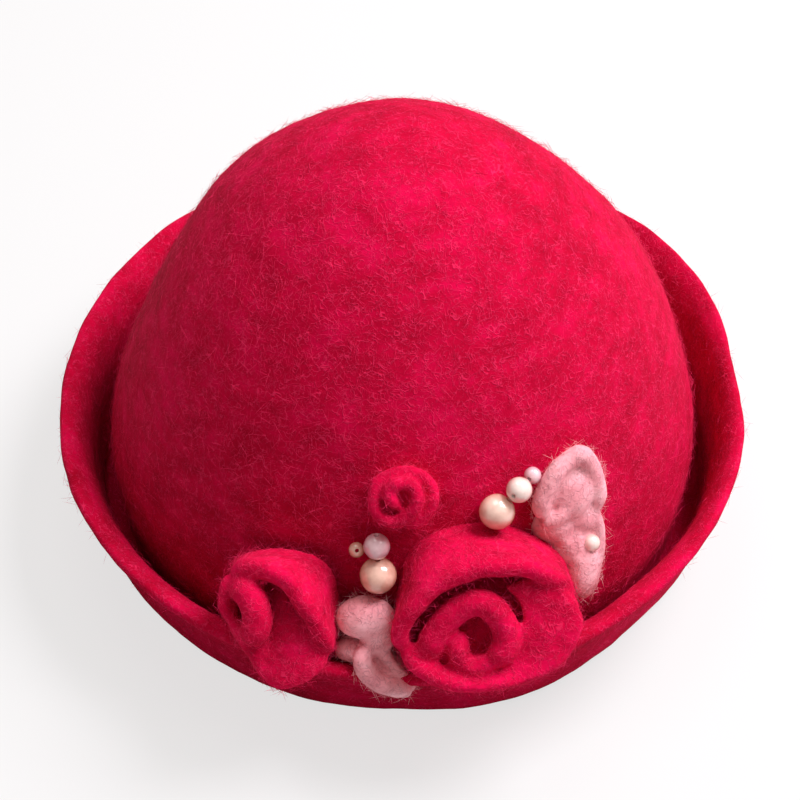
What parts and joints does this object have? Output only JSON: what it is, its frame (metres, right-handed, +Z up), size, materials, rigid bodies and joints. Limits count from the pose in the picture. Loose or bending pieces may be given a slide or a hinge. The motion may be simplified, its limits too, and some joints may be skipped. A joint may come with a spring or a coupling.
{
  "type": "wool felt cloche hat",
  "caption": "Soft felt hat with a tall rounded crown, a narrow brim turned up all round, and rolled felt flowers with pearl beads at the front.",
  "frame": {"origin": "middle of the ring that the hat rests on, which is also the middle of the head opening", "axes": "+Z up through the top of the crown, -Y the way the wearer looks, where the flowers are, +X the wearer's left"},
  "size_m": [0.2069, 0.226, 0.132],
  "materials": {
    "crimson_felt": "fuzzy wool felt, matt",
    "pink_felt": "fuzzy wool felt, matt",
    "pearl": "pearl lustre, soft gloss"
  },
  "bodies": {
    "root": {"hat_body": "crimson_felt", "rose_large": "crimson_felt", "rose_left": "crimson_felt", "rose_small": "crimson_felt", "pink_blossom": "pink_felt", "pink_bud": "pink_felt", "pearl_left_large": "pearl", "pearl_left_medium": "pearl", "pearl_left_small": "pearl", "pearl_right_large": "pearl", "pearl_right_medium": "pearl", "pearl_right_small": "pearl", "pearl_blossom": "pearl"}
  },
  "joints": []
}
